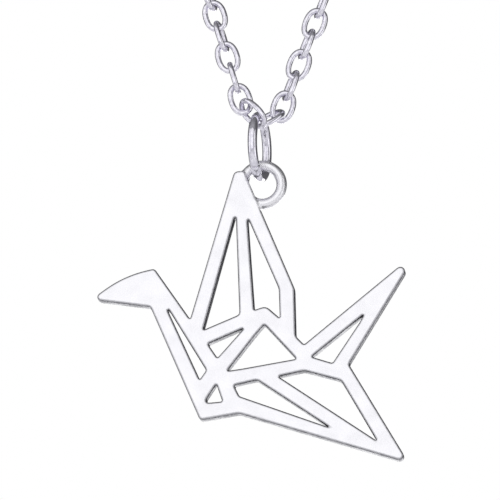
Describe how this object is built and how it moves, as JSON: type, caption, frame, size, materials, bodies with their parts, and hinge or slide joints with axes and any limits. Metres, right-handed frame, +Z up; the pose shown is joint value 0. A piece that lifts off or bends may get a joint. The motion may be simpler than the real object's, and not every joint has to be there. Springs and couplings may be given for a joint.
{
  "type": "pendant necklace",
  "caption": "Fine cable chain necklace with a lobster clasp and a jump ring that carries a flat cast pendant in the openwork outline of an origami crane.",
  "frame": {"origin": "highest point of the chain's loop, on its centre line at the nape of the neck", "axes": "+Z up, -Y to the front where the pendant hangs, +X to the right in a front view"},
  "size_m": [0.0863, 0.1082, 0.164],
  "materials": {
    "cast_silver": "bright silver plate over a cast plate, finely pebbled face, polished edges",
    "silver_wire": "polished silver-plated round wire",
    "clasp_silver": "polished silver-plated casting",
    "spring_steel": "plain spring steel leaf"
  },
  "bodies": {
    "chain": {"chain_link_left_01": "silver_wire", "chain_link_left_02": "silver_wire", "chain_link_left_03": "silver_wire", "chain_link_left_04": "silver_wire", "chain_link_left_05": "silver_wire", "chain_link_left_06": "silver_wire", "chain_link_right_01": "silver_wire", "chain_link_right_02": "silver_wire", "chain_link_right_03": "silver_wire", "chain_link_right_04": "silver_wire", "chain_link_right_05": "silver_wire", "chain_link_right_06": "silver_wire", "chain_run_left_01": "silver_wire", "chain_run_left_02": "silver_wire", "chain_run_left_03": "silver_wire", "chain_run_left_04": "silver_wire", "chain_run_left_05": "silver_wire", "chain_run_left_06": "silver_wire", "chain_run_left_07": "silver_wire", "chain_run_left_08": "silver_wire", "chain_run_left_09": "silver_wire", "chain_run_left_10": "silver_wire", "chain_run_left_11": "silver_wire", "chain_run_left_12": "silver_wire", "chain_run_left_13": "silver_wire", "chain_run_right_01": "silver_wire", "chain_run_right_02": "silver_wire", "chain_run_right_03": "silver_wire", "chain_run_right_04": "silver_wire", "chain_run_right_05": "silver_wire", "chain_run_right_06": "silver_wire", "chain_run_right_07": "silver_wire", "chain_run_right_08": "silver_wire", "chain_run_right_09": "silver_wire", "chain_run_right_10": "silver_wire", "chain_run_right_11": "silver_wire", "chain_run_right_12": "silver_wire", "chain_run_right_13": "silver_wire", "clasp_body": "clasp_silver", "clasp_pin": "clasp_silver", "clasp_ring": "silver_wire", "clasp_spring": "spring_steel", "end_link_left": "silver_wire", "end_link_right": "silver_wire", "end_ring": "silver_wire"},
    "jump_ring": {"jump_ring": "silver_wire"},
    "crane": {"crane_pendant": "cast_silver"},
    "clasp_lever": {"clasp_lever": "clasp_silver"}
  },
  "joints": [
    {"name": "ring_swing", "type": "hinge", "parent": "chain", "child": "jump_ring", "pos_m": [-0.00504, -0.10138, -0.12118], "axis": [0.1564, 0.9875, -0.0175], "range_deg": [-10, 10]},
    {"name": "crane_swing", "type": "hinge", "parent": "jump_ring", "child": "crane", "pos_m": [-0.00475, -0.10144, -0.12671], "axis": [1, 0, 0], "range_deg": [-40, 40]},
    {"name": "lever_press", "type": "hinge", "parent": "chain", "child": "clasp_lever", "pos_m": [0.0011, -0.00185, -0.00042], "axis": [0, -0.2224, 0.975], "range_deg": [-30, 0], "stiffness_Nm_per_rad": 0.002, "springref_deg": 11.46}
  ]
}
